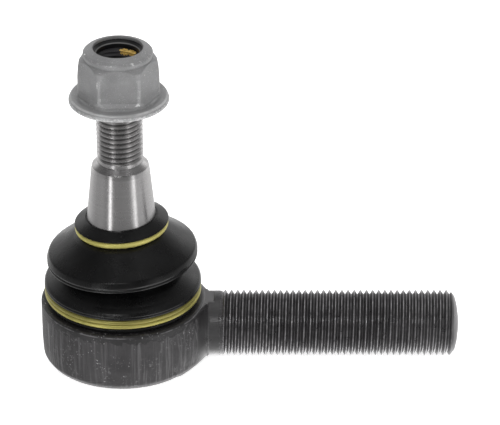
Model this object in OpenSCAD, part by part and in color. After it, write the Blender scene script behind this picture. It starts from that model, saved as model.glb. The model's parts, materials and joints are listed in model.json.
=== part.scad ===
// Outer tie rod end: a forged eye with a threaded shank, and a ball stud that swings and spins in it.
// The origin is the centre of the rim that the underside stands on.
// +Z runs up the ball stud and +X runs out along the shank.

/* [Housing] */
// Diameter of the forged drum at its top edge
drum_d = 39.8; // [38:0.1:42]
// Height of the drum's faced top above the base rim
drum_top = 15.9; // [15.8:0.1:16.2]
// Diameter of the circle that the drum's top is faced to, which just reaches the collar
facing_d = 44.4; // [43:0.2:46]
// Outer diameter of the flat base rim
base_rim_d = 35; // [33:0.5:36]
// Diameter of the boss that carries the boot
boss_d = 34; // [33.6:0.1:34.4]
// Height of the boss's top above the base rim
boss_top = 20.2; // [19.8:0.1:20.4]
// Diameter of the boot's groove round the boss
boot_groove_d = 32.8; // [32.4:0.1:33]
// Diameter of the bore that holds the ball seats
seat_bore_d = 23.2; // [22.8:0.1:23.6]
// Diameter of the counterbore that holds the cover plate
cover_bore_d = 26; // [25.6:0.1:26.4]
// Diameter of the opening left inside the rolled rim
rolled_rim_d = 24; // [23.6:0.1:24.4]
// Diameter of the stud's way out at the top of the boss
mouth_d = 20.8; // [20.4:0.1:21.4]

/* [Shank] */
// Major diameter of the shank thread
shank_thread_d = 16; // [14:1:16]
// Height of the shank's axis above the base rim
shank_axis_z = 8.2; // [8.1:0.1:8.4]
// Diameter of the plain collar behind the thread
collar_d = 15.7; // [14:0.1:15.8]
// Where the plain collar starts
collar_x = 20.6; // [20.4:0.1:21]
// Where the thread starts
thread_x = 24.2; // [23.6:0.1:25]
// Where the full thread ends
thread_end_x = 79.6; // [70:0.1:80]
// Where the shank ends
shank_end_x = 81.7; // [81:0.1:84]

/* [Ball stud] */
// Height of the ball's centre above the base rim
ball_z = 13.6; // [13.5:0.1:13.7]
// Diameter of the ball
ball_d = 19; // [18.8:0.1:19.1]
// Diameter of the neck above the ball
neck_d = 10.4; // [9.6:0.1:10.6]
// Diameter of the taper at its large end
taper_d = 16.5; // [16:0.1:16.6]
// Height where the taper starts
taper_z = 38.6; // [38.5:0.1:39]
// Height where the taper ends
taper_end_z = 51.2; // [50.6:0.1:51.4]
// Length over which the taper loses one unit of diameter
taper_ratio = 5; // [5:0.5:10]
// Major diameter of the stud thread
stud_thread_d = 11.11; // [10.9:0.01:11.11]
// Height where the stud thread starts
stud_thread_z = 54.4; // [54:0.1:55]
// Height of the stud's tip
stud_tip_z = 74.4; // [73.5:0.1:75]

/* [Boot and clamp rings] */
// Widest diameter of the lower fold
lower_fold_d = 38.1; // [37.6:0.1:38.4]
// Widest diameter of the upper fold
upper_fold_d = 36.5; // [36:0.1:36.8]
// Diameter of the waist between the folds
waist_d = 26; // [25:0.5:27]
// Diameter of the lip above the upper ring
lip_d = 22.8; // [22.4:0.1:23]
// Thickness of the rubber
boot_wall = 1.3; // [1.1:0.1:1.4]
// Wire diameter of the lower ring
lower_wire_d = 1.16; // [1:0.02:1.2]
// Wire diameter of the upper ring
upper_wire_d = 1.6; // [1.4:0.05:1.7]

/* [Nut] */
// Height of the nut's bearing face
nut_z = 69.2; // [69:0.1:69.6]
// Height of the nut from bearing face to collar top
nut_h = 14; // [13.6:0.1:14.2]
// Width across the hexagon's flats
nut_flats = 16.8; // [16:0.1:17]
// Diameter of the flange
flange_d = 23.8; // [22:0.1:24]
// Outer diameter of the collar
nut_collar_d = 16.6; // [16:0.1:16.8]
// Diameter of the opening in the collar
nut_mouth_d = 11.7; // [11.6:0.1:12]

/* [Hidden] */
$fn = 96;

running_gap = 0.05;      // radial gap between the ball and its seats, and the stud and the nut
overlap = 0.5;           // how far one solid runs into another that it is fused with

base_rim_h = 0.9;        // height of the drum's lower edge
rim_roll_h = 0.9;        // thickness of the rim that is rolled over the cover plate
cover_seat_z = 2.6;      // ledge that the cover plate rests against
shoulder_z = 16.6;       // height where the seat bore closes in
mouth_z = 18.6;          // narrowest place of the way out
throat_d = 18.6;         // diameter there
boot_groove_z = 17.1;    // lower edge of the boot's groove
boot_groove_h = 2.3;     // height of the boot's groove

ball_r = ball_d / 2;
seat_r = ball_r + running_gap;
seat_outer_r = seat_bore_d / 2 - 0.03;

lower_ring_r = 18.43;    // to the middle of the lower ring's wire
lower_ring_z = boot_groove_z + 0.9;
boot_bead_r = lower_ring_r - lower_wire_d / 2;
upper_ring_r = lip_d / 2 - 0.15 - upper_wire_d / 2;
upper_ring_z = 35.8;
boot_neck_r = upper_ring_r - upper_wire_d / 2;
lip_z = 36.65;           // underside of the lip
lip_top_z = 38.4;        // where the lip meets the taper
lip_edge_z = 37.1;       // top of the lip's outer edge
boot_bore_r = taper_d / 2 + running_gap;

lower_split_z = 23.9;    // where the lower fold's node meets the waist's
upper_split_z = 27;      // where the waist's node meets the upper fold's

hex_r = nut_flats / 2 / cos(30);
hex_z = nut_z + 1.2;
hex_top_z = nut_z + 11.5;
hex_facing = 2.8;        // angle of the hexagon's first corner from +X
nut_bore_d = stud_thread_d + 2 * running_gap;
insert_z = hex_top_z - 0.6;
insert_d = 14.4;
insert_h = 2.2;
patch_depth = 0.35;      // how far the locking compound reaches into the thread
patch_z = insert_z - 1.5;
patch_h = 1.3;
patch_angle = 48;
patch_turn = 63;         // direction of the patch's middle, from +X

// A solid turned about Z from an outline of [radius, height] points
module turned(outline) {
    rotate_extrude($fn = 96) polygon(outline);
}

// The same, about the shank's own axis: the outline's heights run along +X
module turned_along_shank(outline) {
    translate([0, 0, shank_axis_z]) rotate([0, 90, 0]) turned(outline);
}

// A round tube between two heights
module tube(outer_r, inner_r, z, h) {
    translate([0, 0, z]) difference() {
        cylinder(r = outer_r, h = h);
        translate([0, 0, -1]) cylinder(r = inner_r, h = h + 2);
    }
}

// Forged drum with its boss, before it is bored
module drum() {
    r = drum_d / 2;
    turned([
        [0, 0], [base_rim_d / 2, 0], [r - 1, base_rim_h], [r - 0.2, base_rim_h + 1.2],
        [r, drum_top - 0.4], [r - 0.4, drum_top], [boss_d / 2, drum_top],
        [boss_d / 2, boot_groove_z], [boot_groove_d / 2, boot_groove_z],
        [boot_groove_d / 2, boot_groove_z + boot_groove_h], [boss_d / 2, boot_groove_z + boot_groove_h],
        [boss_d / 2, boss_top - 0.4], [boss_d / 2 - 0.4, boss_top], [0, boss_top]
    ]);
}

// Neck that flares from the shank into the drum, cut level with the base rim
module neck() {
    neck_r = 8.15;
    start_x = 8;
    flare_x = 14;
    flare_r = neck_r + collar_x - 0.4 - flare_x;
    difference() {
        turned_along_shank([
            [0, start_x], [flare_r, start_x], [flare_r, flare_x],
            [neck_r + 0.5, collar_x - 0.9], [neck_r, collar_x], [0, collar_x]
        ]);
        translate([0, -20, -10]) cube([40, 40, 10]);
    }
}

// Metal that the facing tool clears from the neck and the collar
module facing_cut() {
    translate([0, 0, drum_top]) cylinder(d = facing_d, h = 10);
}

// Shank: plain collar, thread at its major diameter, chamfer and domed end
module shank() {
    undercut_r = 7.1;
    turned_along_shank([
        [0, 12], [collar_d / 2, 12], [collar_d / 2, thread_x - 0.5], [shank_thread_d / 2, thread_x],
        [shank_thread_d / 2, thread_end_x], [undercut_r, thread_end_x + 0.8],
        [undercut_r - 1, shank_end_x - 0.75], [3, shank_end_x - 0.2], [0, shank_end_x]
    ]);
}

// Everything that is bored out of the housing, from the underside up
module socket_bore() {
    turned([
        [0, -1], [rolled_rim_d / 2, -1], [rolled_rim_d / 2, rim_roll_h],
        [cover_bore_d / 2, rim_roll_h], [cover_bore_d / 2, cover_seat_z],
        [seat_bore_d / 2, cover_seat_z], [seat_bore_d / 2, shoulder_z],
        [throat_d / 2, mouth_z], [mouth_d / 2, boss_top], [mouth_d / 2, boss_top + 1], [0, boss_top + 1]
    ]);
}

// Ring groove in the ledge behind the cover plate
module seal_groove() {
    tube(cover_bore_d / 2 - 0.2, seat_bore_d / 2 - 0.1, cover_seat_z - 0.1, 1.1);
}

module housing() {
    color("#3f4247") difference() {
        union() {
            drum();
            difference() {
                union() {
                    neck();
                    shank();
                }
                facing_cut();
            }
        }
        socket_bore();
        seal_groove();
    }
}

// Closing plate with a pressed dish, held by the rolled rim
module cover_plate() {
    plate_r = cover_bore_d / 2 - 0.03;
    dish_r = 8.5;
    color("#4c4f54") turned([
        [0, rim_roll_h + 0.5], [dish_r - 0.8, rim_roll_h + 0.5], [dish_r, rim_roll_h],
        [plate_r, rim_roll_h], [plate_r, cover_seat_z - 0.01], [0, cover_seat_z - 0.01]
    ]);
}

// Rubber ring behind the cover plate
module cover_seal() {
    seal_r = 0.45;
    middle_r = (seat_bore_d + cover_bore_d) / 4 - 0.15;
    color("#1a1a1a") rotate_extrude($fn = 96)
        translate([middle_r, cover_seat_z + seal_r]) circle(r = seal_r, $fn = 24);
}

// Coned spring washer that keeps the seats tight on the ball
module disc_spring() {
    inner_r = 6.6;
    outer_r = 10.7;
    thick = 0.7;
    rise = 0.65;
    color("#8a8f96") turned([
        [outer_r, cover_seat_z + 0.02], [outer_r, cover_seat_z + thick],
        [inner_r, cover_seat_z + thick + rise], [inner_r, cover_seat_z + rise]
    ]);
}

// Steel washer between the spring and the lower seat
module thrust_washer() {
    washer_z = cover_seat_z + 1.4;
    color("#9a9fa5") tube(seat_bore_d / 2 - 0.2, 6, washer_z, 1.2);
}

// Moulded cup under the ball
module lower_ball_seat() {
    seat_z = cover_seat_z + 2.65;
    seat_h = ball_z - 0.5 - seat_z;
    color("#d9d4c4") difference() {
        translate([0, 0, seat_z]) cylinder(r = seat_outer_r, h = seat_h);
        translate([0, 0, ball_z]) sphere(r = seat_r);
        translate([0, 0, seat_z - 1]) cylinder(r = 5.4, h = 4);
    }
}

// Moulded collar over the ball, coned to fit the housing's shoulder
module upper_ball_seat() {
    seat_top_z = mouth_z - 0.3;
    slope = (seat_bore_d - throat_d) / 2 / (mouth_z - shoulder_z);
    top_r = seat_outer_r - slope * (seat_top_z - shoulder_z);
    color("#d9d4c4") difference() {
        turned([
            [0, ball_z - 0.2], [seat_outer_r, ball_z - 0.2], [seat_outer_r, shoulder_z],
            [top_r, seat_top_z], [0, seat_top_z]
        ]);
        translate([0, 0, ball_z]) sphere(r = seat_r);
    }
}

// Ball, neck, taper, shoulder and thread in one forging
module ball_stud() {
    flat_drop = 8.3;
    shaft_top_r = taper_d / 2 - (taper_end_z - taper_z) / taper_ratio / 2;
    undercut_r = 5.3;
    color("#b9bcc0") {
        difference() {
            translate([0, 0, ball_z]) sphere(r = ball_r);
            translate([-ball_r, -ball_r, ball_z - flat_drop - 5]) cube([ball_d, ball_d, 5]);
        }
        turned([
            [0, ball_z + 6], [neck_d / 2, ball_z + 6], [neck_d / 2, 27.5],
            [taper_d / 2 - 0.6, 32.6], [taper_d / 2, 33.6], [taper_d / 2, taper_z],
            [shaft_top_r, taper_end_z], [undercut_r + 0.9, 52.7], [undercut_r, 53.7],
            [undercut_r, stud_thread_z - 0.3], [stud_thread_d / 2, stud_thread_z],
            [stud_thread_d / 2, stud_tip_z - 1], [stud_thread_d / 2 - 0.9, stud_tip_z], [0, stud_tip_z]
        ]);
    }
}

// Lower part of the boot: bead in the housing's groove, and the lower fold
module boot_lower_fold() {
    r = lower_fold_d / 2;
    fit = 0.05;
    groove_r = boot_groove_d / 2 + fit;
    lip_r = boss_d / 2 + fit;
    bead_top = boot_groove_z + boot_groove_h - 0.1;
    color("#161616") turned([
        [lip_r, drum_top + fit], [r - 0.7, drum_top + fit], [r - 0.5, boot_groove_z + 0.2],
        [boot_bead_r, boot_groove_z + 0.35], [boot_bead_r, bead_top + 0.3],
        [r - 0.5, bead_top + 0.45], [r, bead_top + 1], [r - 0.5, 21.4], [r - 1.9, 22.4],
        [waist_d / 2 + 2.2, lower_split_z], [waist_d / 2 + 0.6, lower_split_z],
        [r - 3, 21.9], [r - 1.9, 21.1], [r - 1.7, 20.4], [lip_r, bead_top],
        [groove_r, bead_top], [groove_r, boot_groove_z + fit], [lip_r, boot_groove_z + fit]
    ]);
}

// Waist of the boot between its two folds
module boot_waist() {
    r = waist_d / 2;
    color("#161616") turned([
        [r + 2.2, lower_split_z], [r, 24.9], [r, 25.6], [r + 1.6, upper_split_z],
        [r - 0.3, upper_split_z], [r - boot_wall, 25.9], [r - boot_wall, 24.6], [r + 0.6, lower_split_z]
    ]);
}

// Upper part of the boot: the upper fold, and the lip that seals on the taper
module boot_upper_fold() {
    r = upper_fold_d / 2;
    w = waist_d / 2;
    color("#161616") turned([
        [w + 1.6, upper_split_z], [r - 0.4, 27.3], [r - 0.1, 27.8], [r, 28.6], [r - 0.5, 29.5],
        [r - 1.6, 30.4], [14.2, 32.1], [11.6, 34], [boot_neck_r + 0.3, 34.8], [boot_neck_r, 35.1],
        [boot_neck_r, lip_z], [lip_d / 2 - 0.2, lip_z], [lip_d / 2, lip_z + 0.15],
        [lip_d / 2 - 0.2, lip_edge_z], [boot_bore_r + 0.3, lip_top_z], [boot_bore_r, lip_top_z - 0.1],
        [boot_bore_r, 34], [10.6, 32.9], [13.6, 30.8], [r - 2.4, 29.3], [r - 1.7, 28.4],
        [w - 0.3, upper_split_z]
    ]);
}

// Two turns of wire that hold the boot on the boss
module lower_clamp_ring() {
    turn_gap = lower_wire_d * 0.97;
    color("#c9b64a") for (i = [0, 1]) rotate_extrude($fn = 96)
        translate([lower_ring_r + 0.02, lower_ring_z + i * turn_gap]) circle(d = lower_wire_d, $fn = 24);
}

// Wire ring that holds the boot's neck on the stud
module upper_clamp_ring() {
    color("#c9b64a") rotate_extrude($fn = 96)
        translate([upper_ring_r + 0.02, upper_ring_z]) circle(d = upper_wire_d, $fn = 24);
}

// Hexagon with turned corners, standing on the flange
module nut_hexagon() {
    intersection() {
        translate([0, 0, hex_z]) rotate([0, 0, hex_facing])
            cylinder(r = hex_r, h = hex_top_z - hex_z, $fn = 6);
        turned([
            [0, nut_z], [hex_r - 0.1, nut_z], [hex_r - 0.1, hex_top_z - 5], [hex_r - 0.3, hex_top_z - 2.4],
            [hex_r - 0.6, hex_top_z - 0.8], [nut_flats / 2 - 0.2, hex_top_z], [0, hex_top_z]
        ]);
    }
}

module flange_nut() {
    top_z = nut_z + nut_h;
    collar_r = nut_collar_d / 2;
    lead_in_r = 6.8;
    color("#8f9194") difference() {
        union() {
            nut_hexagon();
            turned([
                [0, nut_z], [flange_d / 2 - 0.2, nut_z], [flange_d / 2, nut_z + 0.2],
                [flange_d / 2 - 0.3, nut_z + 1.4], [flange_d / 2 - 0.6, nut_z + 1.6],
                [hex_r - 0.4, nut_z + 2.3], [nut_flats / 2 - 0.1, nut_z + 3.2], [0, nut_z + 3.2]
            ]);
            turned([
                [0, hex_top_z - overlap], [collar_r - 0.2, hex_top_z - overlap], [collar_r, hex_top_z + 0.6],
                [collar_r, hex_top_z + 1.2], [collar_r - 0.6, hex_top_z + 1.8],
                [nut_mouth_d / 2 + 0.2, top_z], [0, top_z]
            ]);
        }
        translate([0, 0, nut_z - 1]) cylinder(d = nut_bore_d, h = nut_h);
        translate([0, 0, insert_z]) cylinder(d = insert_d + 0.04, h = insert_h + 0.02);
        translate([0, 0, insert_z]) cylinder(d = nut_mouth_d, h = nut_h);
        turned([
            [0, nut_z - 1], [lead_in_r, nut_z - 1], [lead_in_r, nut_z],
            [nut_bore_d / 2, nut_z + 1.2], [0, nut_z + 1.2]
        ]);
        lock_patch(patch_depth + 0.02, 0.02);
    }
}

// Nylon ring inside the collar
module nut_lock_insert() {
    color("#2b2f36") tube(insert_d / 2, nut_bore_d / 2 + 0.02, insert_z + 0.01, insert_h - 0.02);
}

// Sector of a thin ring just outside the nut's bore
module lock_patch(depth, margin) {
    rotate([0, 0, patch_turn - patch_angle / 2 - margin * 10])
        translate([0, 0, patch_z - margin])
            rotate_extrude(angle = patch_angle + margin * 20)
                translate([nut_bore_d / 2, 0]) square([depth, patch_h + 2 * margin]);
}

// Dab of locking compound on the nut's thread
module thread_lock_patch() {
    color("#c79a2b") lock_patch(patch_depth, 0);
}

housing();
cover_plate();
cover_seal();
disc_spring();
thrust_washer();
lower_ball_seat();
upper_ball_seat();
ball_stud();
boot_lower_fold();
boot_waist();
boot_upper_fold();
lower_clamp_ring();
upper_clamp_ring();
flange_nut();
nut_lock_insert();
thread_lock_patch();
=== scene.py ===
"""Looks of an outer tie rod end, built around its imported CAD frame.

Lengths inside the shape functions are in millimetres, in the part's frame: +Z runs up the ball stud,
+X runs out along the shank, and the origin is the centre of the rim that the housing stands on.
A material's coordinates are in metres, so its masks multiply by MM.
"""

import json
import math

import bmesh
import bpy
import numpy as np
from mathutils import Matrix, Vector


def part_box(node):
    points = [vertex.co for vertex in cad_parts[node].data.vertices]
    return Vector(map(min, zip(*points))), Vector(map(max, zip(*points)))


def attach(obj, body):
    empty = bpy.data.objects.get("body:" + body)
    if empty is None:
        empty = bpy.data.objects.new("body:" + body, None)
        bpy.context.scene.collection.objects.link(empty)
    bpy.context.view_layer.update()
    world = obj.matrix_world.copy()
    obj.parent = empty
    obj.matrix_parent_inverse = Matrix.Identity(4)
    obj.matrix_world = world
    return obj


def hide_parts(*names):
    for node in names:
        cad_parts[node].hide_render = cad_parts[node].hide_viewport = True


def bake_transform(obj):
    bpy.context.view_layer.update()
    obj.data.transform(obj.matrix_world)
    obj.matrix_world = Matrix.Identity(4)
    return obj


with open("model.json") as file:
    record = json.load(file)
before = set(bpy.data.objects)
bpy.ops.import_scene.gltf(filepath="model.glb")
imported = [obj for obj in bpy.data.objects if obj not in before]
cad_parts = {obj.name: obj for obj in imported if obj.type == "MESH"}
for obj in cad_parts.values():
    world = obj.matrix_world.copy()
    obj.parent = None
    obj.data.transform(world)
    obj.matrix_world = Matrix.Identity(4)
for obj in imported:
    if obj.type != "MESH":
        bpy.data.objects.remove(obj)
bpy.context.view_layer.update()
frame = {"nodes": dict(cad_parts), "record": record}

MM = 0.001
COLUMNS = 128          # faces round a turned part
TURN = 2 * math.pi
THREAD_DEPTH = 0.6134  # depth of a thread, as a share of its pitch


# ---------------------------------------------------------------- sizes from the frame

def box_mm(node):
    """Lowest and highest corner of a CAD node, in millimetres."""
    low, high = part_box(node)
    return np.array(low) / MM, np.array(high) / MM


mounts = {m["name"]: m for m in frame["record"]["mounts"]}
housing_low, housing_high = box_mm("housing")
stud_low, stud_high = box_mm("ball_stud")
nut_low, nut_high = box_mm("flange_nut")

drum_r = -housing_low[0]
boss_top = housing_high[2]
shank_end = housing_high[0]
shank_z = mounts["shank_thread"]["pos_m"][2] / MM
shank_r = mounts["shank_thread"]["dims"]["r_mm"]
shank_thread_start = mounts["shank_thread"]["pos_m"][0] / MM - mounts["shank_thread"]["dims"]["length_mm"] / 2
taper_z = mounts["stud_taper"]["pos_m"][2] / MM
nut_z = nut_low[2]
nut_top = nut_high[2]
stud_tip = stud_high[2]

drum_top = 15.9        # the drum's faced top
boss_r = 17.0
boot_groove_r = 16.4   # groove round the boss, for the boot's bead
boot_groove_low = 17.1
boot_groove_high = 19.4
facing_r = 22.2        # reach of the tool that faced the drum's top
collar_x = 20.6        # where the forged neck meets the shank's plain collar
collar_r = 7.85
collar_end_x = 23.7
neck_top = 15.6        # where the facing tool cut the neck and the collar
ball_z = 13.6
ball_r = 9.5
shank_pitch = 1.5
shank_root_r = shank_r - THREAD_DEPTH * shank_pitch
stud_pitch = 1.27
stud_r = 5.555
stud_relief_r = 5.3    # plain neck under the stud's thread
stud_thread_z = 53.6   # where the stud's threaded sheet starts
waist_z = 25.3         # where the boot's two pieces meet
waist_in_r, waist_out_r = 11.1, 12.4
LEAN_FROM, LEAN_TO = 23.2, 26.6    # the boot's lean grows between these heights
BOOT_LEAN = math.radians(3.2)
NUT_FLATS = 16.8
NUT_FACING = 2.8       # degrees from +X to the hexagon's first corner
HEX_TOP = nut_z + 11.5
INSERT_LOW, INSERT_HIGH = HEX_TOP - 0.6, HEX_TOP + 1.62
INSERT_BORE = 5.15     # a little under the stud's thread, which overlaps it once the nut is run down
NUT_REACH = 11.85      # of the flange, for the grid that the nut is built on
NUT_MOUTH_R = 5.86     # opening of the nut's collar
NUT_JACKET_IN, NUT_JACKET_OUT = 5.8, 5.9


# ---------------------------------------------------------------- mesh building

def rounded(points, steps=5):
    """An open outline from (r, z) or (r, z, radius) points; a corner with a radius becomes an arc."""
    flat = [np.array(p[:2], float) for p in points]
    out = []
    for i, point in enumerate(points):
        corner = flat[i]
        if len(point) < 3 or i in (0, len(points) - 1):
            out.append(corner)
            continue
        back, ahead = flat[i - 1] - corner, flat[i + 1] - corner
        room = 0.49 * min(np.linalg.norm(back), np.linalg.norm(ahead))
        back, ahead = back / np.linalg.norm(back), ahead / np.linalg.norm(ahead)
        half = math.acos(np.clip(back @ ahead, -1, 1)) / 2
        reach = min(point[2] / max(math.tan(half), 1e-6), room)
        for t in np.linspace(0, 1, steps):
            out.append(corner + back * reach * (1 - t) ** 2 + ahead * reach * t ** 2)
    return np.array(out)


def grid_faces(rows, columns, wrap_rows=False, wrap_columns=False):
    """Quads of a grid of vertices stored row by row."""
    i = np.arange(rows if wrap_rows else rows - 1)[:, None]
    j = np.arange(columns if wrap_columns else columns - 1)[None, :]
    i2, j2 = (i + 1) % rows, (j + 1) % columns
    corners = [i * columns + j, i * columns + j2, i2 * columns + j2, i2 * columns + j]
    return np.stack(corners, -1).reshape(-1, 4)


def lathe(outline, closed=False, columns=COLUMNS):
    """(vertices, quads) of an outline of [r, z] points turned about Z."""
    angle = np.arange(columns) / columns * TURN
    r, z = np.array(outline).T
    vertices = np.stack([
        np.outer(r, np.cos(angle)), np.outer(r, np.sin(angle)), np.repeat(z[:, None], columns, 1)
    ], -1).reshape(-1, 3)
    return vertices, grid_faces(len(r), columns, wrap_rows=closed, wrap_columns=True)


def thread_depth(phase):
    """Share of the thread's full depth at a phase of the pitch, 0 on the crest and 1 at the root."""
    from_crest = np.abs(phase - np.round(phase))
    return np.clip((from_crest - 0.06) / 0.36, 0, 1)


def threaded(radius, z0, z1, pitch, hand=1, columns=COLUMNS):
    """(vertices, quads) of a sheet about Z between two heights, whose rows follow the thread's helix.
    radius(depth, z) gives the radius for a share of the thread's depth. hand is 1 for right, -1 for left."""
    samples = np.array([0, 0.06, 0.15, 0.25, 0.35, 0.42, 0.5, 0.58, 0.65, 0.75, 0.85, 0.94])
    turns = np.arange(math.floor(z0 / pitch) - 2, math.ceil(z1 / pitch) + 2)
    along = (turns[:, None] + samples[None, :]).reshape(-1)
    angle = np.arange(columns + 1) / columns
    z = pitch * (along[:, None] + hand * angle[None, :])
    depth = np.repeat(thread_depth(along)[:, None], columns + 1, 1)
    z = np.clip(z, z0, z1)
    r = radius(depth, z)
    vertices = np.stack([r * np.cos(angle * TURN), r * np.sin(angle * TURN), z], -1).reshape(-1, 3)
    return vertices, grid_faces(len(along), columns + 1)


def joined(*parts):
    """Several (vertices, quads) as one."""
    vertices, faces, n = [], [], 0
    for v, f in parts:
        vertices.append(v)
        faces.append(f + n)
        n += len(v)
    return np.concatenate(vertices), np.concatenate(faces)


def along_shank(part):
    """Turns a shape built about Z so that its heights run along +X, about the shank's axis."""
    vertices, faces = part
    x, y, z = vertices.T
    return np.stack([z, y, shank_z - x], -1), faces


def piece(name, part, material, sharp=38.0):
    """A mesh object from (vertices in mm, quads), welded, with outward normals and creased edges."""
    vertices, faces = part
    mesh = bpy.data.meshes.new(name)
    mesh.vertices.add(len(vertices))
    mesh.vertices.foreach_set("co", (np.asarray(vertices, float) * MM).astype(np.float32).reshape(-1))
    mesh.loops.add(faces.size)
    mesh.loops.foreach_set("vertex_index", faces.reshape(-1).astype(np.int32))
    mesh.polygons.add(len(faces))
    mesh.polygons.foreach_set("loop_start", np.arange(0, faces.size, 4, dtype=np.int32))
    mesh.update(calc_edges=True)
    work = bmesh.new()
    work.from_mesh(mesh)
    bmesh.ops.remove_doubles(work, verts=work.verts, dist=0.0008 * MM)
    bmesh.ops.dissolve_degenerate(work, edges=work.edges, dist=0.0005 * MM)
    bmesh.ops.recalc_face_normals(work, faces=work.faces)
    work.to_mesh(mesh)
    work.free()
    mesh.validate()
    mesh.polygons.foreach_set("use_smooth", np.ones(len(mesh.polygons), bool))
    mesh.set_sharp_from_angle(angle=math.radians(sharp))
    mesh.materials.append(material)
    obj = bpy.data.objects.new(name, mesh)
    bpy.context.scene.collection.objects.link(obj)
    return obj


# ---------------------------------------------------------------- shapes from distance functions

def outline_distance(outline, r, z):
    """Signed distance from points (r, z) to a closed outline, negative inside."""
    nearest = np.full(r.shape, np.inf)
    inside = np.zeros(r.shape, bool)
    corners = np.array([p[:2] for p in outline], float)
    for a, b in zip(corners, np.roll(corners, -1, 0)):
        edge = b - a
        if edge @ edge < 1e-12:
            continue
        wr, wz = r - a[0], z - a[1]
        t = np.clip((wr * edge[0] + wz * edge[1]) / (edge @ edge), 0, 1)
        nearest = np.minimum(nearest, (wr - t * edge[0]) ** 2 + (wz - t * edge[1]) ** 2)
        if edge[1]:
            crosses = (a[1] <= z) != (b[1] <= z)
            inside ^= crosses & (wr < edge[0] * wz / edge[1])
    return np.where(inside, -1, 1) * np.sqrt(nearest)


def soft_union(a, b, k):
    h = np.clip(0.5 + 0.5 * (b - a) / k, 0, 1)
    return b * (1 - h) + a * h - k * h * (1 - h)


def soft_cut(a, b, k):
    """a with b taken away."""
    return -soft_union(-a, b, k)


def soft_common(a, b, k):
    return -soft_union(-a, -b, k)


def surface(distance, low, high, step):
    """(vertices, quads) of the zero level of a distance function: one vertex for each crossed cell of
    a grid, moved onto the surface."""
    axes = [np.arange(a, b + step, step) for a, b in zip(low, high)]
    shape = tuple(len(a) for a in axes)
    grid = np.stack(np.meshgrid(*axes, indexing="ij"), -1).reshape(-1, 3)
    field = distance(grid).reshape(shape)
    inside = field < 0
    cells = tuple(n - 1 for n in shape)
    count = np.zeros(cells, np.int8)
    offsets = [(i, j, k) for i in (0, 1) for j in (0, 1) for k in (0, 1)]
    for i, j, k in offsets:
        count += inside[i:i + cells[0], j:j + cells[1], k:k + cells[2]]
    crossed = (count > 0) & (count < 8)
    index = np.full(cells, -1, np.int64)
    index[crossed] = np.arange(crossed.sum())
    where = np.argwhere(crossed)
    total = np.zeros((len(where), 3))
    hits = np.zeros(len(where))
    for a in offsets:
        for b in offsets:
            if sum(b) - sum(a) != 1 or any(q < p for p, q in zip(a, b)):
                continue
            fa = field[tuple((where + a).T)]
            fb = field[tuple((where + b).T)]
            cut = (fa < 0) != (fb < 0)
            t = np.where(cut, fa / np.where(cut, fa - fb, 1), 0)
            total += cut[:, None] * (np.array(a) + t[:, None] * (np.array(b) - np.array(a)))
            hits += cut
    points = np.array(low) + (where + total / hits[:, None]) * step
    small = step * 0.05
    for _ in range(4):
        here = distance(points)
        slope = np.stack([
            (distance(points + small * unit) - distance(points - small * unit)) / (2 * small)
            for unit in np.eye(3)
        ], -1)
        move = here / np.maximum((slope ** 2).sum(1), 0.25)
        points = points - np.clip(move, -step, step)[:, None] * slope
    quads = []
    for axis in range(3):
        u, v = [a for a in range(3) if a != axis]
        first = [slice(None)] * 3
        second = [slice(None)] * 3
        first[axis], second[axis] = slice(0, -1), slice(1, None)
        change = inside[tuple(first)] != inside[tuple(second)]
        at = np.argwhere(change)
        at = at[(at[:, u] > 0) & (at[:, v] > 0) & (at[:, u] < cells[u]) & (at[:, v] < cells[v])]
        corners = []
        for du, dv in ((1, 1), (0, 1), (0, 0), (1, 0)):
            cell = at.copy()
            cell[:, u] -= du
            cell[:, v] -= dv
            corners.append(index[tuple(cell.T)])
        quads.append(np.stack(corners, -1))
    return points, np.concatenate(quads)


# ---------------------------------------------------------------- materials

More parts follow.
